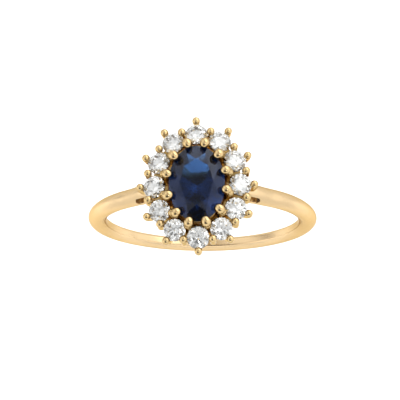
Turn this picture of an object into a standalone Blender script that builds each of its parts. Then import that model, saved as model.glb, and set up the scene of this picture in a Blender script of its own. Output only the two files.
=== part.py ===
"""Engagement ring: an oval sapphire in a halo of twelve diamonds, on a forked gold band.

Frame: the origin is the centre of the finger hole. The band's circle lies in the XZ plane,
+Y runs along the finger, and +Z points up through the middle of the sapphire. The head is
symmetrical in X and in Y. Lengths are in metres and angles in radians.

Pieces: the shank with its two forked shoulders, the base rail, the centre collet, the halo
gallery with its twelve cups and the webs between them, the sapphire, twelve diamonds, and three
families of claws: twelve inner claws on the sapphire, twelve shared claws between neighbouring
diamonds, and twelve tip claws on the outer edges of the diamonds.
"""
import math

import bmesh
import bpy
from mathutils import Matrix, Vector

MM = 0.001

# Band, measured from the finger's axis. Angles run from +Z, at the head.
FINGER_RADIUS = 8.90 * MM
BAND_THICKNESS = 1.65 * MM
BAND_WIDTH_MEAN = 1.445 * MM
BAND_WIDTH_SWING = 0.255 * MM       # wider by this at the head, narrower by this at the bottom
SECTION_CENTRE = 0.47               # widest point of the section, as a share of its thickness
SECTION_POINTS = 13
BAND_STEP = math.radians(6.0)

# Fork: each shoulder splits into an arm that rises to the head and a bridge that passes under it.
ARM_START = math.radians(42.0)
ARM_END = math.radians(20.2)
ARM_RISE = 0.72 * MM
ARM_THICKNESS = 0.62 * MM
ARM_STEPS = 11
ARM_END_SLOPE = math.radians(0.5)
BRIDGE_THICKNESS = 1.00 * MM
BRIDGE_STEPS = 4
SLOT_START = 0.8 * ARM_END          # under the head, past the arm's end
SLOT_END = math.radians(34.8)
SLOT_FLOOR = FINGER_RADIUS + BRIDGE_THICKNESS + 0.03 * MM
SLOT_STEPS = 8
SLOT_HALF_WIDTH = 1.5 * MM

# Ovals of the head, as half width (X) and half length (Y).
SAPPHIRE_OVAL = (2.50 * MM, 3.50 * MM)
HALO_OVAL = (3.85 * MM, 4.77 * MM)
INNER_BEAD_OVAL = (2.69 * MM, 3.75 * MM)
INNER_STEM_OVAL = (2.80 * MM, 3.80 * MM)
SHARED_BEAD_OVAL = (4.50 * MM, 5.15 * MM)
BASE_RAIL_OVAL = (3.35 * MM, 4.27 * MM)
DIAMOND_COUNT = 12
OVAL_SEGMENTS = 48
ARC_STEPS = 7200                    # for measuring the length of the halo's oval

# Heights and sizes of the stones.
SAPPHIRE_Z = 12.35 * MM
SAPPHIRE_HEIGHT_SCALE = 2.50 * MM   # the unit brilliant times this is the sapphire's depth
DIAMOND_Z = 11.57 * MM
DIAMOND_RADIUS = 1.00 * MM
DIAMOND_TILT = math.radians(16.0)   # the halo is domed, so each diamond leans outwards

# Brilliant cut of unit girdle radius.
TABLE_RATIO = 0.57
CROWN_ANGLE = math.radians(34.5)
PAVILION_ANGLE = math.radians(40.75)
STAR_LENGTH = 0.52
LOWER_HALF_LENGTH = 0.77
GIRDLE_THICKNESS = 0.05
MAIN_FACETS = 8
GIRDLE_SEGMENTS = 32
BLANK_DEPTH = 2.4
CUT_TOLERANCE = 1e-5
CUT_WELD = 1e-4
FLAT_ENOUGH = math.radians(0.2)

# Metal of the head.
COLLET_ROWS = (                     # half width, half length, height, round the collet's wall
    (2.47 * MM, 3.45 * MM, 12.04 * MM),
    (2.25 * MM, 3.25 * MM, 10.75 * MM),
    (1.98 * MM, 2.95 * MM, 10.75 * MM),
    (2.24 * MM, 3.14 * MM, 12.04 * MM),
)
COLLAR_ROWS = (                     # the halo gallery's own wall, inside the cups
    (3.05 * MM, 3.97 * MM, 11.50 * MM),
    (3.00 * MM, 3.92 * MM, 11.02 * MM),
    (2.33 * MM, 3.33 * MM, 11.02 * MM),
    (2.53 * MM, 3.50 * MM, 11.50 * MM),
)
CUP_DEPTHS = (0.16 * MM, 0.80 * MM)  # of a cup's top and bottom, below the girdle
CUP_RADII = (0.96 * MM, 0.70 * MM)
BORE_RADII = (0.85 * MM, 0.42 * MM)
BORE_OVERSHOOT = 0.10 * MM
CUP_SEGMENTS = 16
WEB_REACH = (-0.95 * MM, 0.13 * MM)  # each web's ends, outwards from the halo's oval
WEB_HEIGHTS = (10.98 * MM, 11.34 * MM)
WEB_WIDTH = 0.44 * MM
BASE_RAIL_Z = 10.20 * MM
BASE_RAIL_RADIUS = 0.28 * MM
BASE_RAIL_POINTS = 48

# Claws: a tapering stem with a bead on top. A route's points are (outward, height) pairs.
INNER_BEAD_RADIUS = 0.43 * MM
INNER_BEAD_Z = 12.80 * MM
INNER_STEM_RADII = (0.30 * MM, 0.25 * MM)
INNER_FOOT_Z = 11.53 * MM
SHARED_BEAD_RADIUS = 0.35 * MM
TIP_BEAD_RADIUS = 0.33 * MM
OUTER_STEM_RADII = (0.25 * MM, 0.21 * MM)
SHARED_ROUTE = (
    (-0.53 * MM, 10.20 * MM),
    (-0.06 * MM, 10.40 * MM),
    (0.02 * MM, 10.95 * MM),
    (0.03 * MM, 11.45 * MM),
    (0.00 * MM, 11.80 * MM),
)
TIP_ROUTE = (
    (0.03 * MM, 10.20 * MM),
    (0.50 * MM, 10.25 * MM),
    (0.92 * MM, 10.50 * MM),
    (1.18 * MM, 10.90 * MM),
    (1.26 * MM, 11.28 * MM),
    (1.22 * MM, 11.58 * MM),
)
ARM_TIP_ROUTE = (                   # the two tip claws that stand on the fork's arms
    (0.98 * MM, 10.10 * MM),
    (1.14 * MM, 10.55 * MM),
    (1.26 * MM, 11.05 * MM),
    (1.27 * MM, 11.30 * MM),
    (1.23 * MM, 11.58 * MM),
)
STEM_POINTS = 5
BEAD_ANGLES = (-35.0, -5.0, 25.0, 52.0, 78.0)   # degrees along the bead, from its middle
NECK_SHARE = 0.12                   # of the bead's radius, between the stem's end and the bead
HEADING_SHARE = 0.9                 # the bead points as the route does from here on
CLAW_BEVEL_RESOLUTION = 2

WELD = 1e-8

GOLD = ((0.76, 0.50, 0.24, 1.0), 0.16, 1.0, 0.0, 1.45)
DIAMOND = ((0.98, 0.98, 0.98, 1.0), 0.02, 0.0, 1.0, 2.417)
SAPPHIRE = ((0.01, 0.03, 0.16, 1.0), 0.02, 0.0, 1.0, 1.77)


# ---------------------------------------------------------------- scene helpers
def clear_scene():
    for obj in list(bpy.data.objects):
        bpy.data.objects.remove(obj, do_unlink=True)


def new_collection(name):
    collection = bpy.data.collections.new(name)
    bpy.context.scene.collection.children.link(collection)
    return collection


def finish(name, look):
    """Make a Principled material from a look: colour, roughness, metallic, transmission, IOR."""
    colour, roughness, metallic, transmission, ior = look
    material = bpy.data.materials.new(name)
    material.use_nodes = True
    shader = material.node_tree.nodes["Principled BSDF"]
    shader.inputs["Base Color"].default_value = colour
    shader.inputs["Roughness"].default_value = roughness
    shader.inputs["Metallic"].default_value = metallic
    shader.inputs["Transmission Weight"].default_value = transmission
    shader.inputs["IOR"].default_value = ior
    material.diffuse_color = colour
    return material


def add_object(name, data, collection, material=None):
    obj = bpy.data.objects.new(name, data)
    collection.objects.link(obj)
    if material is not None:
        data.materials.clear()
        data.materials.append(material)
    return obj


def add_cutter(name, data, collection):
    obj = add_object(name, data, collection)
    obj.hide_render = True
    obj.display_type = "WIRE"
    return obj


def add_boolean(obj, operation, tool):
    modifier = obj.modifiers.new(tool.name, "BOOLEAN")
    modifier.operation = operation
    modifier.solver = "EXACT"
    modifier.object = tool


def mesh_from_bmesh(name, bm):
    bmesh.ops.recalc_face_normals(bm, faces=bm.faces)
    mesh = bpy.data.meshes.new(name)
    bm.to_mesh(mesh)
    bm.free()
    return mesh


def smooth(mesh, angle=40.0):
    mesh.shade_smooth()
    mesh.set_sharp_from_angle(angle=math.radians(angle))


def closed_loft(name, sections):
    """Skin a run of closed sections that comes back to its start, as on a ring."""
    bm = bmesh.new()
    loops = [[bm.verts.new(point) for point in section] for section in sections]
    count = len(loops[0])
    for index, loop in enumerate(loops):
        following = loops[(index + 1) % len(loops)]
        for side in range(count):
            other = (side + 1) % count
            bm.faces.new((loop[side], loop[other], following[other], following[side]))
    mesh = mesh_from_bmesh(name, bm)
    smooth(mesh)
    return mesh


# ---------------------------------------------------------------- ovals of the head
def oval_point(oval, turn, height):
    """Point of an oval, where turn runs from +Y towards +X."""
    return Vector((oval[0] * math.sin(turn), oval[1] * math.cos(turn), height))


def oval_outward(oval, turn):
    """Unit vector square to the oval, pointing away from the head's middle."""
    return Vector((math.sin(turn) / oval[0], math.cos(turn) / oval[1], 0.0)).normalized()


def halo_turns():
    """Turns of 24 stations that divide the halo's oval equally: diamonds and gaps by turns."""
    lengths = [0.0]
    for index in range(ARC_STEPS):
        turn = 2.0 * math.pi * (index + 0.5) / ARC_STEPS
        speed = math.hypot(HALO_OVAL[0] * math.cos(turn), HALO_OVAL[1] * math.sin(turn))
        lengths.append(lengths[-1] + speed)
    stations = 2 * DIAMOND_COUNT
    turns = []
    index = 0
    for station in range(stations):
        wanted = lengths[-1] * station / stations
        while lengths[index + 1] <= wanted:
            index += 1
        share = (wanted - lengths[index]) / (lengths[index + 1] - lengths[index])
        turns.append(2.0 * math.pi * (index + share) / ARC_STEPS)
    return turns


def diamond_place(turn):
    """Matrix that puts a stone's +Z along its tilted axis, at its place in the halo."""
    outward = oval_outward(HALO_OVAL, turn)
    heading = Matrix.Rotation(math.atan2(outward.y, outward.x), 4, "Z")
    tilt = Matrix.Rotation(DIAMOND_TILT, 4, "Y")
    return Matrix.Translation(oval_point(HALO_OVAL, turn, DIAMOND_Z)) @ heading @ tilt


# ---------------------------------------------------------------- shank
def ease(share):
    share = min(max(share, 0.0), 1.0)
    return share * share * (3.0 - 2.0 * share)


def outer_radius(angle):
    """Radius of the band's outer side, with the fork's arms rising towards the head."""
    angle = abs(angle)
    if angle < ARM_END:
        return FINGER_RADIUS + BRIDGE_THICKNESS
    rise = ARM_RISE * ease((ARM_START - angle) / (ARM_START - ARM_END))
    return FINGER_RADIUS + BAND_THICKNESS + rise


def band_section(angle):
    """Rounded section with a narrow flat on the finger's side, at an angle from the head."""
    thickness = outer_radius(angle) - FINGER_RADIUS
    half_width = 0.5 * (BAND_WIDTH_MEAN + BAND_WIDTH_SWING * math.cos(angle))
    centre = SECTION_CENTRE * thickness
    reach = thickness - centre
    flat = math.acos(-SECTION_CENTRE / (1.0 - SECTION_CENTRE))
    points = []
    for index in range(SECTION_POINTS):
        turn = flat * (2.0 * index / (SECTION_POINTS - 1) - 1.0)
        radius = FINGER_RADIUS + centre + reach * math.cos(turn)
        points.append((radius * math.sin(angle), half_width * math.sin(turn), radius * math.cos(angle)))
    return points


def band_angles():
    """Angles of the sections on one side, from the middle of the head down to the bottom."""
    foot = ARM_END - ARM_END_SLOPE
    angles = [foot * step / BRIDGE_STEPS for step in range(BRIDGE_STEPS + 1)]
    angles += [ARM_END + (ARM_START - ARM_END) * step / ARM_STEPS for step in range(ARM_STEPS + 1)]
    steps = round((math.pi - ARM_START) / BAND_STEP)
    angles += [ARM_START + (math.pi - ARM_START) * step / steps for step in range(1, steps + 1)]
    return angles


def slot_outline(side):
    """Outline of one fork slot in the XZ plane: between the bridge and the arm above it."""
    angles = [SLOT_END + (SLOT_START - SLOT_END) * step / SLOT_STEPS for step in range(SLOT_STEPS + 1)]
    ceiling = []
    for angle in angles:
        arm_underside = outer_radius(max(angle, ARM_END)) - ARM_THICKNESS
        ceiling.append((max(arm_underside, SLOT_FLOOR), angle))
    height = ceiling[0][0] - SLOT_FLOOR
    middle = SLOT_FLOOR + 0.5 * height
    nose = [(middle, SLOT_END + 0.5 * height / middle)]
    floor = [(SLOT_FLOOR, angle) for angle in reversed(angles)]
    outline = nose + ceiling + floor
    return [(side * radius * math.sin(angle), radius * math.cos(angle)) for radius, angle in outline]


def extruded_outline(name, outline, half_width):
    """Mesh of a flat XZ outline, extruded both ways along Y."""
    curve = bpy.data.curves.new(name, "CURVE")
    curve.dimensions = "2D"
    curve.fill_mode = "BOTH"
    curve.extrude = half_width
    spline = curve.splines.new("POLY")
    spline.points.add(len(outline) - 1)
    for point, (across, up) in zip(spline.points, outline):
        point.co = (across, up, 0.0, 1.0)
    spline.use_cyclic_u = True
    guide = bpy.data.objects.new(name, curve)
    bpy.context.scene.collection.objects.link(guide)
    guide.rotation_euler = (math.radians(90.0), 0.0, 0.0)
    bpy.context.view_layer.update()
    mesh = bpy.data.meshes.new_from_object(guide.evaluated_get(bpy.context.evaluated_depsgraph_get()))
    mesh.transform(guide.matrix_world)
    bpy.data.objects.remove(guide, do_unlink=True)
    bm = bmesh.new()
    bm.from_mesh(mesh)
    bpy.data.meshes.remove(mesh)
    bmesh.ops.remove_doubles(bm, verts=bm.verts, dist=WELD)
    return mesh_from_bmesh(name, bm)


def build_shank(parts, cutters):
    angles = band_angles()
    around = angles + [-angle for angle in reversed(angles[1:-1])]
    mesh = closed_loft("shank", [band_section(angle) for angle in around])
    shank = add_object("shank", mesh, parts, finish("shank_gold", GOLD))
    for name, side in (("fork_slot_right", 1.0), ("fork_slot_left", -1.0)):
        slot = extruded_outline(name, slot_outline(side), SLOT_HALF_WIDTH)
        add_boolean(shank, "DIFFERENCE", add_cutter(name, slot, cutters))


# ---------------------------------------------------------------- stones
def facet_tiers():
    """Tiers of the unit brilliant: facets, first turn, slope, and the point each passes through.

    A slope is positive on the crown and negative on the pavilion. A point is (radius, height)
    in the facet's own direction.
    """
    step = 2.0 * math.pi / MAIN_FACETS
    chord = math.cos(step / 4.0)
    edge = 0.5 * GIRDLE_THICKNESS
    star_radius = TABLE_RATIO * math.cos(step / 2.0)
    star_reach = star_radius + STAR_LENGTH * (1.0 - star_radius)
    star_height = (1.0 - star_reach * math.cos(step / 2.0)) * math.tan(CROWN_ANGLE)
    table_height = (1.0 - TABLE_RATIO) * math.tan(CROWN_ANGLE)
    upper_slope = math.atan2(star_height, chord * (1.0 - star_reach))
    star_slope = math.atan2(table_height - star_height, star_reach - star_radius)
    lower_reach = 1.0 - LOWER_HALF_LENGTH
    lower_drop = (1.0 - lower_reach * math.cos(step / 2.0)) * math.tan(PAVILION_ANGLE)
    lower_slope = math.atan2(lower_drop, chord * LOWER_HALF_LENGTH)
    return (
        (MAIN_FACETS, 0.0, CROWN_ANGLE, (1.0, edge)),
        (2 * MAIN_FACETS, step / 4.0, upper_slope, (chord, edge)),
        (MAIN_FACETS, step / 2.0, star_slope, (star_radius, edge + table_height)),
        (1, 0.0, 0.0, (0.0, edge + table_height)),
        (MAIN_FACETS, 0.0, -PAVILION_ANGLE, (1.0, -edge)),
        (2 * MAIN_FACETS, step / 4.0, -lower_slope, (chord, -edge)),
    )


def cut_facet(bm, point, normal):
    geometry = bm.verts[:] + bm.edges[:] + bm.faces[:]
    cut = bmesh.ops.bisect_plane(
        bm, geom=geometry, dist=CUT_TOLERANCE, plane_co=point, plane_no=normal, clear_outer=True)
    edges = [item for item in cut["geom_cut"] if isinstance(item, bmesh.types.BMEdge)]
    if len(edges) > 2:
        bmesh.ops.edgeloop_fill(bm, edges=[edge for edge in edges if edge.is_boundary])


def cut_brilliant(name, half_width, half_length, height_scale):
    """Cut a brilliant facet by facet from a round blank, then bring it to its size."""
    bm = bmesh.new()
    bmesh.ops.create_cone(
        bm, cap_ends=True, segments=GIRDLE_SEGMENTS, radius1=1.0, radius2=1.0, depth=BLANK_DEPTH)
    for count, first, slope, (radius, height) in facet_tiers():
        upward = 1.0 if slope >= 0.0 else -1.0
        for index in range(count):
            turn = first + 2.0 * math.pi * index / count
            direction = Vector((math.cos(turn), math.sin(turn), 0.0))
            normal = direction * math.sin(abs(slope)) + Vector((0.0, 0.0, upward * math.cos(slope)))
            cut_facet(bm, direction * radius + Vector((0.0, 0.0, height)), normal)
    bmesh.ops.remove_doubles(bm, verts=bm.verts, dist=CUT_WELD)
    bmesh.ops.dissolve_limit(bm, angle_limit=FLAT_ENOUGH, verts=bm.verts, edges=bm.edges)
    bmesh.ops.scale(bm, verts=bm.verts, vec=(half_width, half_length, height_scale))
    return mesh_from_bmesh(name, bm)


def build_sapphire(parts):
    mesh = cut_brilliant("sapphire", SAPPHIRE_OVAL[0], SAPPHIRE_OVAL[1], SAPPHIRE_HEIGHT_SCALE)
    sapphire = add_object("sapphire", mesh, parts, finish("sapphire_crystal", SAPPHIRE))
    sapphire.location = (0.0, 0.0, SAPPHIRE_Z)


def build_diamonds(parts, turns):
    mesh = cut_brilliant("diamond", DIAMOND_RADIUS, DIAMOND_RADIUS, DIAMOND_RADIUS)
    material = finish("diamond_crystal", DIAMOND)
    for number, turn in enumerate(turns, start=1):
        diamond = add_object(f"diamond_{number:02d}", mesh, parts, material)
        diamond.matrix_world = diamond_place(turn)


# ---------------------------------------------------------------- metal under the stones
def oval_wall(name, rows):
    """Wall that follows an oval, with one closed profile of (half width, half length, height)."""
    turns = [2.0 * math.pi * index / OVAL_SEGMENTS for index in range(OVAL_SEGMENTS)]
    return closed_loft(name, [[oval_point(row, turn, row[2]) for row in rows] for turn in turns])


def tapered_plugs(name, turns, radii, overshoot):
    """One cone for each diamond, along the diamond's own axis and through its cup."""
    bm = bmesh.new()
    top, bottom = CUP_DEPTHS
    top -= overshoot
    bottom += overshoot
    growth = (radii[0] - radii[1]) / (CUP_DEPTHS[1] - CUP_DEPTHS[0]) * overshoot
    middle = Matrix.Translation((0.0, 0.0, -0.5 * (top + bottom)))
    for turn in turns:
        bmesh.ops.create_cone(
            bm, cap_ends=True, segments=CUP_SEGMENTS, radius1=radii[1] - growth,
            radius2=radii[0] + growth, depth=bottom - top, matrix=diamond_place(turn) @ middle)
    return mesh_from_bmesh(name, bm)


def webs(name, turns):
    """One short bar in each gap between two cups, from the collar out to the shared claws."""
    bm = bmesh.new()
    size = Matrix.Diagonal((WEB_REACH[1] - WEB_REACH[0], WEB_WIDTH, WEB_HEIGHTS[1] - WEB_HEIGHTS[0], 1.0))
    for turn in turns:
        outward = oval_outward(HALO_OVAL, turn)
        centre = oval_point(HALO_OVAL, turn, 0.5 * sum(WEB_HEIGHTS)) + outward * 0.5 * sum(WEB_REACH)
        heading = Matrix.Rotation(math.atan2(outward.y, outward.x), 4, "Z")
        bmesh.ops.create_cube(bm, size=1.0, matrix=Matrix.Translation(centre) @ heading @ size)
    return mesh_from_bmesh(name, bm)


def build_metalwork(parts, cutters, turns, gap_turns):
    collet = oval_wall("centre_collet", COLLET_ROWS)
    add_object("centre_collet", collet, parts, finish("centre_collet_gold", GOLD))

    gallery = add_object(
        "halo_gallery", oval_wall("halo_gallery", COLLAR_ROWS), parts, finish("halo_gallery_gold", GOLD))
    cups = tapered_plugs("gallery_cups", turns, CUP_RADII, 0.0)
    bores = tapered_plugs("gallery_bores", turns, BORE_RADII, BORE_OVERSHOOT)
    add_boolean(gallery, "UNION", add_cutter("gallery_cups", cups, cutters))
    add_boolean(gallery, "UNION", add_cutter("gallery_webs", webs("gallery_webs", gap_turns), cutters))
    add_boolean(gallery, "DIFFERENCE", add_cutter("gallery_bores", bores, cutters))

    rail = bpy.data.curves.new("base_rail", "CURVE")
    rail.dimensions = "3D"
    rail.bevel_depth = BASE_RAIL_RADIUS
    rail.bevel_resolution = CLAW_BEVEL_RESOLUTION
    rail.resolution_u = 1
    spline = rail.splines.new("POLY")
    spline.points.add(BASE_RAIL_POINTS - 1)
    for index, point in enumerate(spline.points):
        turn = 2.0 * math.pi * index / BASE_RAIL_POINTS
        point.co = (*oval_point(BASE_RAIL_OVAL, turn, BASE_RAIL_Z), 1.0)
    spline.use_cyclic_u = True
    add_object("base_rail", rail, parts, finish("base_rail_gold", GOLD))


# ---------------------------------------------------------------- claws
def spline_through(points, share):
    """Point at a share of the way along a smooth curve through the given points."""
    place = share * (len(points) - 1)
    index = min(int(place), len(points) - 2)
    local = place - index
    before = points[index - 1] if index > 0 else 2.0 * points[0] - points[1]
    start = points[index]
    end = points[index + 1]
    after = points[index + 2] if index + 2 < len(points) else 2.0 * points[-1] - points[-2]
    slope_in = (end - before) * 0.5
    slope_out = (after - start) * 0.5
    square = local * local
    cube = square * local
    return (start * (2.0 * cube - 3.0 * square + 1.0) + slope_in * (cube - 2.0 * square + local)
            + end * (3.0 * square - 2.0 * cube) + slope_out * (cube - square))


def claw_curve(name, route, stem_radii, bead_radius):
    """Stem along a route from foot to bead centre, swelling into a round bead at its end."""
    neck = bead_radius * math.sin(math.radians(BEAD_ANGLES[0]))
    heading = (route[-1] - spline_through(route, HEADING_SHARE)).normalized()
    stem_end = route[-1] + heading * (neck - NECK_SHARE * bead_radius)
    stem_route = list(route[:-1]) + [stem_end]
    places = []
    for index in range(STEM_POINTS):
        share = index / (STEM_POINTS - 1)
        radius = stem_radii[0] + (stem_radii[1] - stem_radii[0]) * share
        places.append((spline_through(stem_route, share), radius))
    for degrees in BEAD_ANGLES:
        turn = math.radians(degrees)
        places.append((route[-1] + heading * bead_radius * math.sin(turn), bead_radius * math.cos(turn)))
    curve = bpy.data.curves.new(name, "CURVE")
    curve.dimensions = "3D"
    curve.bevel_depth = bead_radius
    curve.bevel_resolution = CLAW_BEVEL_RESOLUTION
    curve.resolution_u = 1
    curve.use_fill_caps = True
    spline = curve.splines.new("POLY")
    spline.points.add(len(places) - 1)
    for point, (place, radius) in zip(spline.points, places):
        point.co = (*place, 1.0)
        point.radius = radius / bead_radius
    return curve


def route_in_space(base_oval, turn, route):
    """Turn (outward, height) pairs into points square to an oval."""
    outward = oval_outward(base_oval, turn)
    return [oval_point(base_oval, turn, height) + outward * reach for reach, height in route]


def inner_claw_route(turn):
    return [
        oval_point(INNER_STEM_OVAL, turn, INNER_FOOT_Z),
        oval_point(INNER_STEM_OVAL, turn, 0.5 * (INNER_FOOT_Z + INNER_BEAD_Z)),
        oval_point(INNER_BEAD_OVAL, turn, INNER_BEAD_Z),
    ]


def shared_claw_route(turn):
    return route_in_space(SHARED_BEAD_OVAL, turn, SHARED_ROUTE)


def tip_claw_route(turn):
    """Route of a tip claw; the two at the middles of the head's sides stand on the fork's arms."""
    on_arm = abs(math.cos(turn)) < 1e-3
    return route_in_space(HALO_OVAL, turn, ARM_TIP_ROUTE if on_arm else TIP_ROUTE)


def build_claws(parts, diamond_turns, gap_turns):
    families = (
        ("inner_claw", gap_turns, inner_claw_route, INNER_STEM_RADII, INNER_BEAD_RADIUS),
        ("shared_claw", gap_turns, shared_claw_route, OUTER_STEM_RADII, SHARED_BEAD_RADIUS),
        ("tip_claw", diamond_turns, tip_claw_route, OUTER_STEM_RADII, TIP_BEAD_RADIUS),
    )
    for family, turns, route, stem_radii, bead_radius in families:
        material = finish(f"{family}_gold", GOLD)
        for number, turn in enumerate(turns, start=1):
            name = f"{family}_{number:02d}"
            add_object(name, claw_curve(name, route(turn), stem_radii, bead_radius), parts, material)


def main():
    clear_scene()
    parts = new_collection("engagement_ring")
    cutters = new_collection("cutters")
    turns = halo_turns()
    diamond_turns = turns[0::2]
    gap_turns = turns[1::2]
    build_shank(parts, cutters)
    build_metalwork(parts, cutters, diamond_turns, gap_turns)
    build_sapphire(parts)
    build_diamonds(parts, diamond_turns)
    build_claws(parts, diamond_turns, gap_turns)


main()
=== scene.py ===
"""Looks of the engagement ring: fine meshes, procedural materials, soft studio light.

Pieces are modelled in millimetres and brought to metres when they are added. They use the CAD
frame: +Y along the finger, +Z up through the sapphire, origin at the centre of the finger hole.
"""
import math
import random

import bmesh
import bpy
from mathutils import Matrix, Vector


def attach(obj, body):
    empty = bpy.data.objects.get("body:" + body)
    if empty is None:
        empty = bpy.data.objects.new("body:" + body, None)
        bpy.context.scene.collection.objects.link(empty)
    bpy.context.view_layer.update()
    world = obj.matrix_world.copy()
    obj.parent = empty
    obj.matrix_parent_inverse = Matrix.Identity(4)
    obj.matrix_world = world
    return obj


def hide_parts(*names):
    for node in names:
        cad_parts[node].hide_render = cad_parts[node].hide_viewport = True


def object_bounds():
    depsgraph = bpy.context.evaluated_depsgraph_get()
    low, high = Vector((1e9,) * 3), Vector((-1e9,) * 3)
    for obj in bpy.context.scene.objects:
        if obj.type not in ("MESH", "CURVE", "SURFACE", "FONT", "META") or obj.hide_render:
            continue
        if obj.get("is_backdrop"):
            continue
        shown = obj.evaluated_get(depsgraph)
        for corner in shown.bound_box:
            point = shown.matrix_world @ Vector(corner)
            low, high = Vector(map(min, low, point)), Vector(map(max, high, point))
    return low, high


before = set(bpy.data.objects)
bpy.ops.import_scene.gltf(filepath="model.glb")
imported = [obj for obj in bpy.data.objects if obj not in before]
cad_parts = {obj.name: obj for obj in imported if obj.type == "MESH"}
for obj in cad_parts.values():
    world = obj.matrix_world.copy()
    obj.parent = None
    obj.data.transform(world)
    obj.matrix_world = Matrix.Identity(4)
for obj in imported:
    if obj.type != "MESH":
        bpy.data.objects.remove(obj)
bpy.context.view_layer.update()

METRES = 0.001

# ---------------------------------------------------------------- sizes, in millimetres and radians
# Camera, paper and lamps. The camera's values come from a fit to the photograph. Its azimuth
# runs from the front towards the right.
CAMERA_AZIMUTH = math.radians(10.61)
CAMERA_ELEVATION = math.radians(75.03)
CAMERA_ROLL = math.radians(-10.68)
CAMERA_DISTANCE = 301.3
CAMERA_LENS = 293.8
CAMERA_AIM = Vector((-0.22, 1.68, 0.45))
FLOOR_DROP = 6.0                    # of the paper, below the ring
LAMP_SIZE = (150.0, 36.0)           # length outwards from the band, and width
LAMP_START = 12.0                   # of a lamp's near end, from the middle of the ring
LAMP_FORWARD = 4.0
LAMP_HEIGHT = 26.0
LAMP_TILT = math.radians(12.0)
LAMP_SPREAD = math.radians(50.0)
LEFT_LAMP_LEVEL = 0.9
RIGHT_LAMP_LEVEL = 0.8
FLOOR_HALF_SIZE = 1.5               # metres

# Soft discs on the studio's wall, a later one over an earlier one: azimuth and elevation of the
# middle, radius of the even part, radius of the rim, and level. Angles are in degrees. The
# real studio is unknown, and these were chosen so that the reflections come near the photograph's.
WALL_LEVEL = 1.1
STUDIO_DISCS = (
    (90.0, 8.0, 25.0, 60.0, 1.8),       # wide panel on the right
    (-74.0, 6.0, 18.0, 44.0, 1.9),      # panel on the left
    (0.0, 0.0, 12.0, 40.0, 2.0),        # panel in front, at table height
    (135.0, 40.0, 18.0, 27.0, 3.2),     # bright panel behind, on the right
    (-130.0, 38.0, 12.0, 30.0, 1.7),    # panel behind, on the left
    (-116.0, 6.0, 8.0, 22.0, 0.6),      # dim gap between the two panels on the left
    (165.0, 20.0, 14.0, 26.0, 2.8),     # low panel behind
    (-10.0, 46.0, 20.0, 31.0, 0.18),    # dark card in front
    (-170.0, 75.0, 8.0, 13.0, 0.60),    # grey hood overhead, mirrored in the sapphire's table
    (40.0, 60.0, 3.0, 6.0, 10.0),       # small lamp
)

# Shank. Angles run from the middle of the head down either side.
FINGER_RADIUS = 8.90
BAND_THICKNESS = 1.65
BAND_WIDTH_MEAN = 1.445
BAND_WIDTH_SWING = 0.255            # wider by this at the head, narrower by this at the bottom
SECTION_CENTRE = 0.47               # widest point of the section, as a share of its thickness
ARM_START = math.radians(42.0)      # where an arm starts to rise from the band
ARM_END = math.radians(20.2)
ARM_END_FACE = math.radians(0.5)    # over which the arm drops to the bridge
ARM_RISE = 0.72
ARM_THICKNESS = 0.62
BRIDGE_THICKNESS = 1.00
BRIDGE_STEPS = 12
ARM_STEPS = 22
BAND_STEPS = 92
SLOT_START = 0.8 * ARM_END          # under the head, past the arm's end
SLOT_END = math.radians(31.7)
SLOT_FLOOR = FINGER_RADIUS + BRIDGE_THICKNESS - 0.05
SLOT_CHAMFER = ((0.00, 0.00), (0.10, 0.00), (0.70, 0.40), (1.50, 1.50))  # across the band, and up
SLOT_NOSE = 0.3                     # reach of the slot's round end, as a share of its height

# Ovals of the head, as half width (X) and half length (Y).
SAPPHIRE_OVAL = (2.50, 3.50)
HALO_OVAL = (3.85, 4.77)
INNER_BEAD_OVAL = (2.69, 3.75)
INNER_STEM_OVAL = (2.80, 3.80)
SHARED_BEAD_OVAL = (4.50, 5.15)
BASE_RAIL_OVAL = (3.35, 4.27)
DIAMOND_COUNT = 12
ARC_STEPS = 7200                    # for measuring the length of the halo's oval
HEAD_TURN = math.radians(1.25)      # how far askew the photographed head sits on its shank
HEAD_SHIFT = Vector((0.085, -0.01, 0.0))

# Stones. A cut is the table's share of the width and the star facets' share of the crown.
SAPPHIRE_Z = 12.35
SAPPHIRE_HEIGHT_SCALE = 2.35
SAPPHIRE_CUT = (0.60, 0.62)
DIAMOND_Z = 11.57
DIAMOND_RADIUS = 1.00
DIAMOND_TILT = math.radians(16.0)
DIAMOND_CUT = (0.57, 0.52)
CROWN_ANGLE = math.radians(34.5)
PAVILION_ANGLE = math.radians(40.75)
LOWER_HALF_LENGTH = 0.77
GIRDLE_THICKNESS = 0.05
MAIN_FACETS = 8
BLANK_SEGMENTS = 96                 # of the round blank that a stone is cut from
BLANK_DEPTH = 2.4
CUT_TOLERANCE = 1e-5                # shares of the blank's radius
CUT_WELD = 1e-4
FLAT_ENOUGH = math.radians(0.2)     # facets closer than this in slope are one

# Metal of the head. Rows are half width, half length and height, round an oval wall.
COLLET_ROWS = (
    (2.47, 3.45, 12.04),
    (2.51, 3.49, 11.60),
    (2.25, 3.25, 10.75),
    (1.98, 2.95, 10.75),
    (2.24, 3.14, 12.04),
)
COLLAR_ROWS = (
    (3.05, 3.97, 11.50),
    (3.00, 3.92, 11.02),
    (2.33, 3.33, 11.02),
    (2.53, 3.50, 11.50),
)
CUP_DEPTHS = (0.16, 0.80)           # of a cup's top and bottom, below the girdle
CUP_RADII = (0.96, 0.70)
BORE_RADII = (0.85, 0.42)
BORE_OVERSHOOT = 0.1
CUP_SEGMENTS = 48
WEB_REACH = (-0.95, 0.13)           # each web's ends, outwards from the halo's oval
WEB_HEIGHTS = (10.98, 11.34)
WEB_WIDTH = 0.44
BASE_RAIL_Z = 10.20
BASE_RAIL_RADIUS = 0.28
RAIL_STATIONS = 160
RAIL_SIDES = 28

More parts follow.
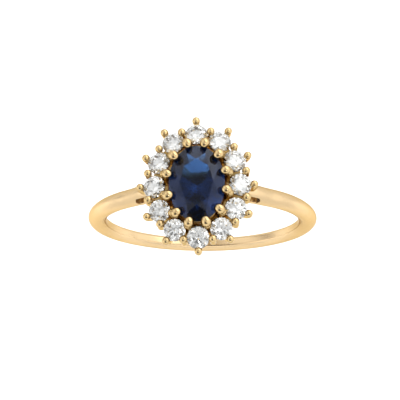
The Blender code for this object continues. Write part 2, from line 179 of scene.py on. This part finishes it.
# Claws: a stem with a bead on top. A route's points are (outward, height) pairs.
INNER_BEAD_RADIUS = 0.45
INNER_BEAD_Z = 12.80
INNER_STEM_RADII = (0.34, 0.36)
INNER_STEM_LEAN = 0.20
INNER_FOOT_Z = 11.53
INNER_NECK = 0.3                    # from a stem's last bend up to the middle of its bead
# The photographed inner beads sit off the even pattern near two places: turn, and how far.
INNER_KNOCKS = ((math.radians(90.0), math.radians(3.0)), (math.radians(240.0), math.radians(5.2)))
KNOCK_SPREAD = math.radians(28.0)   # how far round the oval each of them reaches
SHARED_BEAD_RADIUS = 0.37
TIP_BEAD_RADIUS = 0.35
OUTER_STEM_RADII = (0.28, 0.27)
SHARED_ROUTE = ((-0.53, 10.20), (-0.06, 10.40), (0.02, 10.95), (0.03, 11.45), (0.00, 11.80))
TIP_ROUTE = ((0.03, 10.20), (0.50, 10.25), (0.92, 10.50), (1.18, 10.90), (1.26, 11.28), (1.22, 11.58))
ARM_TIP_ROUTE = ((0.98, 10.10), (1.14, 10.55), (1.26, 11.05), (1.27, 11.30), (1.23, 11.58))
INNER_STRETCH = 1.12                # of a bead, along its heading
OUTER_STRETCH = 1.05
BEAD_SPREAD = (0.95, 1.05)          # of the beads' sizes
CLAW_STEPS = 24
CLAW_SIDES = 24

# Casting: voxel size and number of relaxing passes.
METAL_GRAIN = 0.045
BAND_PASSES = 8
HEAD_PASSES = 5
CLAW_GRAIN = 0.032
CLAW_PASSES = 3

# ---------------------------------------------------------------- looks
# Tones are the two ends of a slow drift. Tints colour the reflections. Noise scales are for
# each metre.
WHITE = (1.0, 1.0, 1.0, 1.0)
FLOOR_TONE = (0.93, 0.93, 0.93, 1.0)
BAND_TONES = ((0.57, 0.420, 0.240, 1.0), (0.61, 0.450, 0.260, 1.0))
BAND_ROUGHNESS = 0.24
# Painted shade: the head's tones are the band's gold made darker, for the shade that the head lies in.
HEAD_SHADED_TONES = ((0.50, 0.365, 0.182, 1.0), (0.54, 0.395, 0.200, 1.0))
HEAD_ROUGHNESS = 0.08
ROUGHNESS_SPREAD = (0.8, 1.3)       # of the handling marks, as shares of a gold's roughness
GOLD_TINT = (0.64, 0.54, 0.38, 1.0)
GOLD_DRIFT = 260.0
GOLD_MARKS = 5200.0
GOLD_WAVES = 900.0
WAVE_HEIGHT = 0.00002               # metres
# Painted shade: gold in recesses and between parts is darkened towards this tone, within this reach.
PAINTED_SHADE_TONE = (0.84, 0.72, 0.44, 1.0)
PAINTED_SHADE_REACH = 0.0009               # metres
DIAMOND_TONES = ((0.60, 0.61, 0.605, 1.0), (0.68, 0.69, 0.68, 1.0))
DIAMOND_TINT = (0.62, 0.62, 0.62, 1.0)
DIAMOND_CLOUDS = 700.0
DIAMOND_INDEX = 2.417
DIAMOND_ROUGHNESS = 0.0
SAPPHIRE_TONES = ((0.058, 0.146, 0.335, 1.0), (0.074, 0.184, 0.418, 1.0))
SAPPHIRE_TINT = (0.30, 0.32, 0.40, 1.0)
SAPPHIRE_INDEX = 1.77
SAPPHIRE_ROUGHNESS = 0.13
SAPPHIRE_ZONES = 240.0
SAPPHIRE_BODY = (0.16, 0.30, 0.47, 1.0)
SAPPHIRE_DENSITY = 640.0            # absorption for each metre

scene = bpy.context.scene
random.seed(7)


# ---------------------------------------------------------------- camera, floor and light
def camera_axes():
    """Right, up and backward directions of the camera before roll."""
    back = Vector((
        math.sin(CAMERA_AZIMUTH) * math.cos(CAMERA_ELEVATION),
        -math.cos(CAMERA_AZIMUTH) * math.cos(CAMERA_ELEVATION),
        math.sin(CAMERA_ELEVATION)))
    right = Vector((math.cos(CAMERA_AZIMUTH), math.sin(CAMERA_AZIMUTH), 0.0))
    return right, back.cross(right), back


def add_camera():
    right, up, back = camera_axes()
    turned_up = up * math.cos(CAMERA_ROLL) - right * math.sin(CAMERA_ROLL)
    place = back * CAMERA_DISTANCE
    axis_z = (place - CAMERA_AIM).normalized()
    axis_x = turned_up.cross(axis_z).normalized()
    axis_y = axis_z.cross(axis_x)
    data = bpy.data.cameras.new("camera")
    data.lens = CAMERA_LENS
    data.sensor_width = 36.0
    data.clip_start = 0.01
    data.clip_end = 10.0
    camera = bpy.data.objects.new("camera", data)
    turn = Matrix((axis_x, axis_y, axis_z)).transposed().to_4x4()
    camera.matrix_world = Matrix.Translation(place * METRES) @ turn
    scene.collection.objects.link(camera)
    scene.camera = camera


def node(tree, kind, **values):
    made = tree.nodes.new(kind)
    for name, value in values.items():
        setattr(made, name, value)
    return made


def link(tree, start, end):
    tree.links.new(start, end)


def world_patch(tree, direction_socket, level_socket, direction, inner, outer, level):
    """Mix a level into the world over a disc of sky round a direction, soft at its rim.

    Without a level socket there is no disc yet, and the wall's own level lies under this one.
    """
    dot = node(tree, "ShaderNodeVectorMath", operation="DOT_PRODUCT")
    dot.inputs[1].default_value = direction.normalized()
    link(tree, direction_socket, dot.inputs[0])
    edge = node(tree, "ShaderNodeMapRange", interpolation_type="SMOOTHSTEP")
    edge.inputs["From Min"].default_value = math.cos(math.radians(outer))
    edge.inputs["From Max"].default_value = math.cos(math.radians(inner))
    link(tree, dot.outputs["Value"], edge.inputs["Value"])
    mix = node(tree, "ShaderNodeMix", data_type="FLOAT")
    link(tree, edge.outputs["Result"], mix.inputs["Factor"])
    if level_socket is None:
        mix.inputs["A"].default_value = WALL_LEVEL
    else:
        link(tree, level_socket, mix.inputs["A"])
    mix.inputs["B"].default_value = level
    return mix.outputs["Result"]


def sky(azimuth, elevation):
    """Direction at an azimuth, 0 in front and 90 on the right, and an elevation, in degrees."""
    azimuth = math.radians(azimuth)
    elevation = math.radians(elevation)
    return Vector((
        math.sin(azimuth) * math.cos(elevation),
        -math.cos(azimuth) * math.cos(elevation),
        math.sin(elevation)))


def add_world():
    """Light tent: an even pale wall with soft discs, some brighter and some darker."""
    world = bpy.data.worlds.new("tent")
    world.use_nodes = True
    scene.world = world
    tree = world.node_tree
    background = tree.nodes["Background"]
    background.inputs["Color"].default_value = WHITE
    direction = node(tree, "ShaderNodeTexCoord").outputs["Generated"]
    level = None
    for azimuth, elevation, inner, outer, strength in STUDIO_DISCS:
        level = world_patch(tree, direction, level, sky(azimuth, elevation), inner, outer, strength)
    link(tree, level, background.inputs["Strength"])


def paper_height():
    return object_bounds()[0][2] - FLOOR_DROP * METRES


def add_floor():
    bm = bmesh.new()
    bmesh.ops.create_grid(bm, x_segments=1, y_segments=1, size=FLOOR_HALF_SIZE)
    mesh = bpy.data.meshes.new("floor")
    bm.to_mesh(mesh)
    bm.free()
    floor = bpy.data.objects.new("floor", mesh)
    floor.location = (0.0, 0.0, paper_height())
    scene.collection.objects.link(floor)
    material, shader = new_material("floor_paper")
    shader.inputs["Base Color"].default_value = FLOOR_TONE
    shader.inputs["Roughness"].default_value = 0.9
    shader.inputs["Specular IOR Level"].default_value = 0.1
    mesh.materials.append(material)
    floor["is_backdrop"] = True


def add_side_lamps():
    """Strip lamps low over the paper at the left and right, seen only by what they light."""
    height = paper_height() + LAMP_HEIGHT * METRES
    length, width = LAMP_SIZE
    for side, level in ((-1.0, LEFT_LAMP_LEVEL), (1.0, RIGHT_LAMP_LEVEL)):
        data = bpy.data.lights.new("side_lamp", "AREA")
        data.shape = "RECTANGLE"
        data.size = length * METRES
        data.size_y = width * METRES
        data.spread = LAMP_SPREAD
        data.energy = level * math.pi * data.size * data.size_y
        lamp = bpy.data.objects.new("side_lamp", data)
        reach = side * (LAMP_START + 0.5 * length) * METRES
        lamp.location = (reach, -LAMP_FORWARD * METRES, height)
        lamp.rotation_euler = (0.0, side * LAMP_TILT, 0.0)
        lamp.visible_camera = False
        lamp.visible_glossy = False
        lamp.visible_transmission = False
        scene.collection.objects.link(lamp)


# ---------------------------------------------------------------- materials
def new_material(name):
    """Material with nodes, and its shader."""
    material = bpy.data.materials.new(name)
    material.use_nodes = True
    return material, material.node_tree.nodes["Principled BSDF"]


def ramp(tree, low, high, start=0.0, end=1.0):
    made = node(tree, "ShaderNodeValToRGB")
    made.color_ramp.elements[0].position = start
    made.color_ramp.elements[0].color = low
    made.color_ramp.elements[1].position = end
    made.color_ramp.elements[1].color = high
    return made


def noise(tree, coordinates, scale, detail=2.0):
    made = node(tree, "ShaderNodeTexNoise")
    made.inputs["Scale"].default_value = scale
    made.inputs["Detail"].default_value = detail
    link(tree, coordinates.outputs["Object"], made.inputs["Vector"])
    return made


def gold_material(name, tones, roughness):
    """Polished gold: slow drifts of tone, painted shade that darkens the recesses, fine handling marks, a
    faint waviness.
    """
    material, shader = new_material(name)
    tree = material.node_tree
    shader.inputs["Metallic"].default_value = 1.0
    shader.inputs["Specular Tint"].default_value = GOLD_TINT
    coordinates = node(tree, "ShaderNodeTexCoord")
    drift = noise(tree, coordinates, GOLD_DRIFT)
    tone = ramp(tree, *tones, 0.3, 0.7)
    link(tree, drift.outputs["Fac"], tone.inputs["Fac"])
    # Painted shade: ambient occlusion darkens the gold in recesses, in the slots and between the stones.
    painted_shade_ao = node(tree, "ShaderNodeAmbientOcclusion", samples=8)
    painted_shade_ao.inputs["Distance"].default_value = PAINTED_SHADE_REACH
    painted_shade = ramp(tree, PAINTED_SHADE_TONE, WHITE, 0.12, 0.60)
    link(tree, painted_shade_ao.outputs["AO"], painted_shade.inputs["Fac"])
    shaded_tone = node(tree, "ShaderNodeMix", data_type="RGBA", blend_type="MULTIPLY")
    shaded_tone.inputs["Factor"].default_value = 1.0
    link(tree, tone.outputs["Color"], shaded_tone.inputs["A"])
    link(tree, painted_shade.outputs["Color"], shaded_tone.inputs["B"])
    link(tree, shaded_tone.outputs["Result"], shader.inputs["Base Color"])
    marks = noise(tree, coordinates, GOLD_MARKS, 4.0)
    gloss = node(tree, "ShaderNodeMapRange")
    gloss.inputs["To Min"].default_value = roughness * ROUGHNESS_SPREAD[0]
    gloss.inputs["To Max"].default_value = roughness * ROUGHNESS_SPREAD[1]
    link(tree, marks.outputs["Fac"], gloss.inputs["Value"])
    link(tree, gloss.outputs["Result"], shader.inputs["Roughness"])
    waves = noise(tree, coordinates, GOLD_WAVES)
    bump = node(tree, "ShaderNodeBump")
    bump.inputs["Strength"].default_value = 0.25
    bump.inputs["Distance"].default_value = WAVE_HEIGHT
    link(tree, waves.outputs["Fac"], bump.inputs["Height"])
    link(tree, bump.outputs["Normal"], shader.inputs["Normal"])
    return material


def crystal_material(name, index, tint, roughness, tones, cloud_scale):
    """Clear stone with a tone that is a little uneven."""
    material, shader = new_material(name)
    tree = material.node_tree
    shader.inputs["Transmission Weight"].default_value = 1.0
    shader.inputs["IOR"].default_value = index
    shader.inputs["Specular Tint"].default_value = tint
    shader.inputs["Roughness"].default_value = roughness
    cloud = noise(tree, node(tree, "ShaderNodeTexCoord"), cloud_scale)
    tone = ramp(tree, *tones, 0.35, 0.65)
    link(tree, cloud.outputs["Fac"], tone.inputs["Fac"])
    link(tree, tone.outputs["Color"], shader.inputs["Base Color"])
    return material


def diamond_material():
    return crystal_material(
        "diamond_crystal", DIAMOND_INDEX, DIAMOND_TINT, DIAMOND_ROUGHNESS, DIAMOND_TONES, DIAMOND_CLOUDS)


def sapphire_material():
    material = crystal_material(
        "sapphire_crystal", SAPPHIRE_INDEX, SAPPHIRE_TINT, SAPPHIRE_ROUGHNESS, SAPPHIRE_TONES, SAPPHIRE_ZONES)
    tree = material.node_tree
    absorb = node(tree, "ShaderNodeVolumeAbsorption")
    absorb.inputs["Color"].default_value = SAPPHIRE_BODY
    absorb.inputs["Density"].default_value = SAPPHIRE_DENSITY
    link(tree, absorb.outputs["Volume"], tree.nodes["Material Output"].inputs["Volume"])
    return material


# ---------------------------------------------------------------- mesh helpers
def new_mesh(name, bm):
    bmesh.ops.recalc_face_normals(bm, faces=bm.faces)
    mesh = bpy.data.meshes.new(name)
    bm.to_mesh(mesh)
    bm.free()
    return mesh


def temporary(name, mesh):
    obj = bpy.data.objects.new(name, mesh)
    scene.collection.objects.link(obj)
    return obj


def apply_modifiers(obj):
    """Mesh of the object as its modifiers leave it."""
    bpy.context.view_layer.update()
    return bpy.data.meshes.new_from_object(obj.evaluated_get(bpy.context.evaluated_depsgraph_get()))


def drop(obj):
    mesh = obj.data
    bpy.data.objects.remove(obj, do_unlink=True)
    bpy.data.meshes.remove(mesh)


def boolean(mesh, operation, tool_mesh):
    body = temporary("boolean_body", mesh)
    tool = temporary("boolean_tool", tool_mesh)
    modifier = body.modifiers.new("cut", "BOOLEAN")
    modifier.operation = operation
    modifier.solver = "EXACT"
    modifier.object = tool
    result = apply_modifiers(body)
    drop(body)
    drop(tool)
    return result


def cast_smooth(mesh, voxel, passes):
    """Run the surface through a fine voxel grid and relax it, which rounds every inner corner."""
    obj = temporary("cast", mesh)
    remesh = obj.modifiers.new("remesh", "REMESH")
    remesh.mode = "VOXEL"
    remesh.voxel_size = voxel
    relax = obj.modifiers.new("relax", "SMOOTH")
    relax.factor = 0.5
    relax.iterations = passes
    result = apply_modifiers(obj)
    drop(obj)
    return result


def seat_on_shank(mesh):
    """Turn and shift a piece of the head, as the photographed head sits slightly askew."""
    mesh.transform(Matrix.Translation(HEAD_SHIFT) @ Matrix.Rotation(HEAD_TURN, 4, "Z"))


def add_piece(name, mesh, material, slot, *replaced):
    """Bring a finished mesh to metres and hand it over as a piece."""
    mesh.name = name
    mesh.transform(Matrix.Scale(METRES, 4))
    mesh.materials.clear()
    mesh.materials.append(material)
    piece = bpy.data.objects.new(name, mesh)
    scene.collection.objects.link(piece)
    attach(piece, "root")
    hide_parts(*replaced)
    return piece


def loft(name, sections, closed=True):
    """Skin a run of closed sections; an open run is capped at both ends."""
    bm = bmesh.new()
    loops = [[bm.verts.new(point) for point in section] for section in sections]
    count = len(loops[0])
    pairs = list(zip(loops, loops[1:]))
    if closed:
        pairs.append((loops[-1], loops[0]))
    for loop, following in pairs:
        for side in range(count):
            other = (side + 1) % count
            bm.faces.new((loop[side], loop[other], following[other], following[side]))
    if not closed:
        bm.faces.new(loops[0])
        bm.faces.new(loops[-1])
    return new_mesh(name, bm)


def swept_tube(name, centres, radii, sides):
    """Round tube of changing radius along a run of points, with its ring turned as little as it can."""
    sections = []
    side = None
    for index, centre in enumerate(centres):
        before = centres[max(index - 1, 0)]
        after = centres[min(index + 1, len(centres) - 1)]
        heading = (after - before).normalized()
        if side is None:
            side = heading.orthogonal().normalized()
        side = (side - heading * side.dot(heading)).normalized()
        other = heading.cross(side)
        ring = []
        for step in range(sides):
            turn = 2.0 * math.pi * step / sides
            ring.append(centre + (side * math.cos(turn) + other * math.sin(turn)) * radii[index])
        sections.append(ring)
    return loft(name, sections, closed=False)


# ---------------------------------------------------------------- ovals of the head
def oval_point(oval, turn, height):
    return Vector((oval[0] * math.sin(turn), oval[1] * math.cos(turn), height))


def oval_outward(oval, turn):
    return Vector((math.sin(turn) / oval[0], math.cos(turn) / oval[1], 0.0)).normalized()


def halo_turns():
    """Turns of 24 stations that divide the halo's oval equally: diamonds and gaps by turns."""
    lengths = [0.0]
    for index in range(ARC_STEPS):
        turn = 2.0 * math.pi * (index + 0.5) / ARC_STEPS
        speed = math.hypot(HALO_OVAL[0] * math.cos(turn), HALO_OVAL[1] * math.sin(turn))
        lengths.append(lengths[-1] + speed)
    stations = 2 * DIAMOND_COUNT
    turns = []
    index = 0
    for station in range(stations):
        wanted = lengths[-1] * station / stations
        while lengths[index + 1] <= wanted:
            index += 1
        share = (wanted - lengths[index]) / (lengths[index + 1] - lengths[index])
        turns.append(2.0 * math.pi * (index + share) / ARC_STEPS)
    return turns


def diamond_place(turn):
    outward = oval_outward(HALO_OVAL, turn)
    heading = Matrix.Rotation(math.atan2(outward.y, outward.x), 4, "Z")
    tilt = Matrix.Rotation(DIAMOND_TILT, 4, "Y")
    return Matrix.Translation(oval_point(HALO_OVAL, turn, DIAMOND_Z)) @ heading @ tilt


# ---------------------------------------------------------------- shank
def ease(share):
    share = min(max(share, 0.0), 1.0)
    return share * share * (3.0 - 2.0 * share)


def outer_radius(angle):
    angle = abs(angle)
    if angle < ARM_END:
        return FINGER_RADIUS + BRIDGE_THICKNESS
    rise = ARM_RISE * ease((ARM_START - angle) / (ARM_START - ARM_END))
    return FINGER_RADIUS + BAND_THICKNESS + rise


def band_section(angle, points=49):
    """Round back and a flat inner face, as wide as the band is at this angle."""
    thickness = outer_radius(angle) - FINGER_RADIUS
    half_width = 0.5 * (BAND_WIDTH_MEAN + BAND_WIDTH_SWING * math.cos(angle))
    centre = SECTION_CENTRE * thickness
    reach = thickness - centre
    flat = math.acos(-SECTION_CENTRE / (1.0 - SECTION_CENTRE))
    section = []
    for index in range(points):
        turn = flat * (2.0 * index / (points - 1) - 1.0)
        radius = FINGER_RADIUS + centre + reach * math.cos(turn)
        section.append((radius * math.sin(angle), half_width * math.sin(turn), radius * math.cos(angle)))
    return section


def band_angles():
    """Angles of the sections from the head to the bottom, over the bridge, an arm and the band."""
    foot = ARM_END - ARM_END_FACE
    angles = [foot * step / BRIDGE_STEPS for step in range(BRIDGE_STEPS + 1)]
    angles += [ARM_END + (ARM_START - ARM_END) * step / ARM_STEPS for step in range(ARM_STEPS + 1)]
    angles += [ARM_START + (math.pi - ARM_START) * step / BAND_STEPS for step in range(1, BAND_STEPS + 1)]
    return angles


def slot_mesh(side):
    """Fork slot between the bridge and the arm above it, chamfered where it opens on each flank."""
    steps = 16
    angles = [SLOT_END + (SLOT_START - SLOT_END) * step / steps for step in range(steps + 1)]
    floor = [(SLOT_FLOOR, angle) for angle in reversed(angles)]
    stations = [(-y, up) for y, up in reversed(SLOT_CHAMFER[1:])] + list(SLOT_CHAMFER)
    sections = []
    for y, up in stations:
        ceiling = []
        for angle in angles:
            arm_underside = outer_radius(max(angle, ARM_END)) - ARM_THICKNESS
            ceiling.append((arm_underside + up, angle))
        height = ceiling[0][0] - floor[-1][0]
        middle = floor[-1][0] + 0.5 * height
        nose = (middle, SLOT_END + SLOT_NOSE * height / middle)
        section = []
        for radius, angle in [nose] + ceiling + floor:
            section.append((side * radius * math.sin(angle), y, radius * math.cos(angle)))
        sections.append(section)
    return loft("slot", sections, closed=False)


def add_shank(gold):
    angles = band_angles()
    around = angles + [-angle for angle in reversed(angles[1:-1])]
    mesh = loft("shank", [band_section(angle) for angle in around])
    for side in (1.0, -1.0):
        mesh = boolean(mesh, "DIFFERENCE", slot_mesh(side))
    mesh = cast_smooth(mesh, METAL_GRAIN, BAND_PASSES)
    mesh.shade_smooth()
    add_piece("shank_polished", mesh, gold, "gold", "shank")


# ---------------------------------------------------------------- metal under the stones
def oval_wall(name, rows, segments=144):
    """Wall that runs round the head with the rows as the corners of its section."""
    turns = [2.0 * math.pi * index / segments for index in range(segments)]
    return loft(name, [[oval_point(row, turn, row[2]) for row in rows] for turn in turns])


def tapered_plugs(name, turns, radii, overshoot):
    """Plugs under the diamonds, longer at both ends by the overshoot and with the same taper."""
    bm = bmesh.new()
    top, bottom = CUP_DEPTHS
    top -= overshoot
    bottom += overshoot
    growth = (radii[0] - radii[1]) / (CUP_DEPTHS[1] - CUP_DEPTHS[0]) * overshoot
    middle = Matrix.Translation((0.0, 0.0, -0.5 * (top + bottom)))
    for turn in turns:
        bmesh.ops.create_cone(
            bm, cap_ends=True, segments=CUP_SEGMENTS, radius1=radii[1] - growth,
            radius2=radii[0] + growth, depth=bottom - top, matrix=diamond_place(turn) @ middle)
    return new_mesh(name, bm)


def webs(name, turns):
    """Bars from the collar's wall out between the diamonds."""
    bm = bmesh.new()
    length = WEB_REACH[1] - WEB_REACH[0]
    size = Matrix.Diagonal((length, WEB_WIDTH, WEB_HEIGHTS[1] - WEB_HEIGHTS[0], 1.0))
    for turn in turns:
        outward = oval_outward(HALO_OVAL, turn)
        centre = oval_point(HALO_OVAL, turn, 0.5 * sum(WEB_HEIGHTS)) + outward * 0.5 * sum(WEB_REACH)
        heading = Matrix.Rotation(math.atan2(outward.y, outward.x), 4, "Z")
        bmesh.ops.create_cube(bm, size=1.0, matrix=Matrix.Translation(centre) @ heading @ size)
    return new_mesh(name, bm)


def add_head_metal(name, mesh, gold):
    """Seat a metal piece of the head and hand it over, named after the piece that it replaces."""
    mesh.shade_smooth()
    seat_on_shank(mesh)
    add_piece(f"{name}_polished", mesh, gold, "gold", name)


def add_collet(gold):
    collet = oval_wall("centre_collet", COLLET_ROWS)
    add_head_metal("centre_collet", cast_smooth(collet, METAL_GRAIN, HEAD_PASSES), gold)


def add_gallery(gold, diamond_turns, gap_turns):
    gallery = oval_wall("halo_gallery", COLLAR_ROWS)
    gallery = boolean(gallery, "UNION", tapered_plugs("cups", diamond_turns, CUP_RADII, 0.0))
    gallery = boolean(gallery, "UNION", webs("webs", gap_turns))
    bores = tapered_plugs("bores", diamond_turns, BORE_RADII, BORE_OVERSHOOT)
    gallery = boolean(gallery, "DIFFERENCE", bores)
    add_head_metal("halo_gallery", cast_smooth(gallery, METAL_GRAIN, HEAD_PASSES), gold)


def add_base_rail(gold):
    upward = Vector((0.0, 0.0, 1.0))
    sections = []
    for index in range(RAIL_STATIONS):
        turn = 2.0 * math.pi * index / RAIL_STATIONS
        centre = oval_point(BASE_RAIL_OVAL, turn, BASE_RAIL_Z)
        outward = oval_outward(BASE_RAIL_OVAL, turn)
        ring = []
        for step in range(RAIL_SIDES):
            roll = 2.0 * math.pi * step / RAIL_SIDES
            spoke = outward * math.cos(roll) + upward * math.sin(roll)
            ring.append(centre + spoke * BASE_RAIL_RADIUS)
        sections.append(ring)
    add_head_metal("base_rail", loft("base_rail", sections), gold)


# ---------------------------------------------------------------- stones
def facet_tiers(table_ratio, star_length):
    """Tiers of the unit brilliant: facets, first turn, slope, and the point each passes through."""
    step = 2.0 * math.pi / MAIN_FACETS
    chord = math.cos(step / 4.0)
    edge = 0.5 * GIRDLE_THICKNESS
    star_radius = table_ratio * math.cos(step / 2.0)
    star_reach = star_radius + star_length * (1.0 - star_radius)
    star_height = (1.0 - star_reach * math.cos(step / 2.0)) * math.tan(CROWN_ANGLE)
    table_height = (1.0 - table_ratio) * math.tan(CROWN_ANGLE)
    upper_slope = math.atan2(star_height, chord * (1.0 - star_reach))
    star_slope = math.atan2(table_height - star_height, star_reach - star_radius)
    lower_reach = 1.0 - LOWER_HALF_LENGTH
    lower_drop = (1.0 - lower_reach * math.cos(step / 2.0)) * math.tan(PAVILION_ANGLE)
    lower_slope = math.atan2(lower_drop, chord * LOWER_HALF_LENGTH)
    return (
        (MAIN_FACETS, 0.0, CROWN_ANGLE, (1.0, edge)),
        (2 * MAIN_FACETS, step / 4.0, upper_slope, (chord, edge)),
        (MAIN_FACETS, step / 2.0, star_slope, (star_radius, edge + table_height)),
        (1, 0.0, 0.0, (0.0, edge + table_height)),
        (MAIN_FACETS, 0.0, -PAVILION_ANGLE, (1.0, -edge)),
        (2 * MAIN_FACETS, step / 4.0, -lower_slope, (chord, -edge)),
    )


def cut_facet(bm, point, normal):
    """Grind off what lies outside the plane, and close the stone with the new facet."""
    geometry = bm.verts[:] + bm.edges[:] + bm.faces[:]
    cut = bmesh.ops.bisect_plane(
        bm, geom=geometry, dist=CUT_TOLERANCE, plane_co=point, plane_no=normal, clear_outer=True)
    edges = [item for item in cut["geom_cut"] if isinstance(item, bmesh.types.BMEdge)]
    if len(edges) > 2:
        bmesh.ops.edgeloop_fill(bm, edges=[edge for edge in edges if edge.is_boundary])


def cut_brilliant(name, cut, half_width, half_length, height_scale):
    """Cut a unit brilliant from a round blank, then stretch it to the stone's size."""
    bm = bmesh.new()
    bmesh.ops.create_cone(
        bm, cap_ends=True, segments=BLANK_SEGMENTS, radius1=1.0, radius2=1.0, depth=BLANK_DEPTH)
    for count, first, slope, (radius, height) in facet_tiers(*cut):
        upward = 1.0 if slope >= 0.0 else -1.0
        for index in range(count):
            turn = first + 2.0 * math.pi * index / count
            direction = Vector((math.cos(turn), math.sin(turn), 0.0))
            normal = direction * math.sin(abs(slope)) + Vector((0.0, 0.0, upward * math.cos(slope)))
            cut_facet(bm, direction * radius + Vector((0.0, 0.0, height)), normal)
    bmesh.ops.remove_doubles(bm, verts=bm.verts, dist=CUT_WELD)
    bmesh.ops.dissolve_limit(bm, angle_limit=FLAT_ENOUGH, verts=bm.verts, edges=bm.edges)
    bmesh.ops.scale(bm, verts=bm.verts, vec=(half_width, half_length, height_scale))
    return new_mesh(name, bm)


def add_stones(diamond_turns):
    sapphire = cut_brilliant("sapphire", SAPPHIRE_CUT, *SAPPHIRE_OVAL, SAPPHIRE_HEIGHT_SCALE)
    sapphire.transform(Matrix.Translation((0.0, 0.0, SAPPHIRE_Z)))
    seat_on_shank(sapphire)
    add_piece("sapphire_cut", sapphire, sapphire_material(), "sapphire", "sapphire")
    crystal = diamond_material()
    for number, turn in enumerate(diamond_turns, start=1):
        diamond = cut_brilliant("diamond", DIAMOND_CUT, *(DIAMOND_RADIUS,) * 3)
        spin = Matrix.Rotation(random.uniform(0.0, 2.0 * math.pi), 4, "Z")
        diamond.transform(diamond_place(turn) @ spin)
        seat_on_shank(diamond)
        add_piece(f"diamond_{number:02d}_cut", diamond, crystal, "diamond", f"diamond_{number:02d}")


# ---------------------------------------------------------------- claws
def spline_through(points, share):
    """Point at a share of the way along a smooth curve through the points."""
    place = share * (len(points) - 1)
    index = min(int(place), len(points) - 2)
    local = place - index
    before = points[index - 1] if index > 0 else 2.0 * points[0] - points[1]
    start = points[index]
    end = points[index + 1]
    after = points[index + 2] if index + 2 < len(points) else 2.0 * points[-1] - points[-2]
    slope_in = (end - before) * 0.5
    slope_out = (after - start) * 0.5
    square = local * local
    cube = square * local
    return (start * (2.0 * cube - 3.0 * square + 1.0) + slope_in * (cube - 2.0 * square + local)
            + end * (3.0 * square - 2.0 * cube) + slope_out * (cube - square))


def join(name, *meshes):
    bm = bmesh.new()
    for mesh in meshes:
        bm.from_mesh(mesh)
        bpy.data.meshes.remove(mesh)
    return new_mesh(name, bm)


def ball(name, centre, heading, radius, stretch):
    """Round bead, a little longer along its heading."""
    bm = bmesh.new()
    bmesh.ops.create_icosphere(bm, subdivisions=4, radius=radius)
    turn = heading.to_track_quat("X", "Z").to_matrix().to_4x4()
    bm.transform(Matrix.Translation(centre) @ turn @ Matrix.Diagonal((stretch, 1.0, 1.0, 1.0)))
    return new_mesh(name, bm)


def claw_mesh(name, route, stem_radii, bead_radius, heading, stretch):
    """Stem from its foot up into a bead, cast as one piece."""
    shares = [step / CLAW_STEPS for step in range(CLAW_STEPS + 1)]
    centres = [spline_through(route, share) for share in shares]
    radii = [stem_radii[0] + (stem_radii[1] - stem_radii[0]) * share for share in shares]
    stem = swept_tube("stem", centres, radii, CLAW_SIDES)
    bead = ball("bead", route[-1], heading, bead_radius, stretch)
    return cast_smooth(join(name, stem, bead), CLAW_GRAIN, CLAW_PASSES)


def route_in_space(base_oval, turn, route):
    outward = oval_outward(base_oval, turn)
    return [oval_point(base_oval, turn, height) + outward * reach for reach, height in route]


def knocked(turn):
    """Turn at which an inner bead sits, off the even pattern near two places."""
    return turn - sum(
        reach * math.exp(-((turn - centre) / KNOCK_SPREAD) ** 2) for centre, reach in INNER_KNOCKS)


def inner_claw_route(turn):
    outward = oval_outward(INNER_STEM_OVAL, turn)
    lean = outward * INNER_STEM_LEAN
    bead = oval_point(INNER_BEAD_OVAL, knocked(turn), INNER_BEAD_Z)
    return [
        oval_point(INNER_STEM_OVAL, turn, INNER_FOOT_Z) + 0.5 * lean,
        oval_point(INNER_STEM_OVAL, turn, 0.5 * (INNER_FOOT_Z + INNER_BEAD_Z)) + lean,
        oval_point(INNER_STEM_OVAL, turn, INNER_BEAD_Z - INNER_NECK) + lean,
        bead,
    ]


def shared_claw_route(turn):
    return route_in_space(SHARED_BEAD_OVAL, turn, SHARED_ROUTE)


def tip_claw_route(turn):
    on_arm = abs(math.cos(turn)) < 1e-3
    return route_in_space(HALO_OVAL, turn, ARM_TIP_ROUTE if on_arm else TIP_ROUTE)


def add_claws(gold, diamond_turns, gap_turns):
    families = (
        ("inner_claw", gap_turns, inner_claw_route, INNER_STEM_RADII, INNER_BEAD_RADIUS, INNER_STRETCH),
        ("shared_claw", gap_turns, shared_claw_route, OUTER_STEM_RADII, SHARED_BEAD_RADIUS, OUTER_STRETCH),
        ("tip_claw", diamond_turns, tip_claw_route, OUTER_STEM_RADII, TIP_BEAD_RADIUS, OUTER_STRETCH),
    )
    for family, turns, route, stem_radii, bead_radius, stretch in families:
        for number, turn in enumerate(turns, start=1):
            name = f"{family}_{number:02d}"
            size = bead_radius * random.uniform(*BEAD_SPREAD)
            heading = oval_outward(HALO_OVAL, turn)
            add_head_metal(name, claw_mesh(name, route(turn), stem_radii, size, heading, stretch), gold)


# ---------------------------------------------------------------- scene
add_camera()
add_world()
add_floor()
add_side_lamps()
turns = halo_turns()
diamond_turns = turns[0::2]
gap_turns = turns[1::2]
band_gold = gold_material("band_gold", BAND_TONES, BAND_ROUGHNESS)
# Painted shade: the head's gold is a darker copy of the band's gold.
shaded_head_gold = gold_material("shaded_head_gold", HEAD_SHADED_TONES, HEAD_ROUGHNESS)
add_shank(band_gold)
add_collet(shaded_head_gold)
add_gallery(shaded_head_gold, diamond_turns, gap_turns)
add_base_rail(shaded_head_gold)
add_stones(diamond_turns)
add_claws(shaded_head_gold, diamond_turns, gap_turns)

scene.view_settings.view_transform = "Standard"
scene.cycles.max_bounces = 32
scene.cycles.transmission_bounces = 24
scene.cycles.glossy_bounces = 12
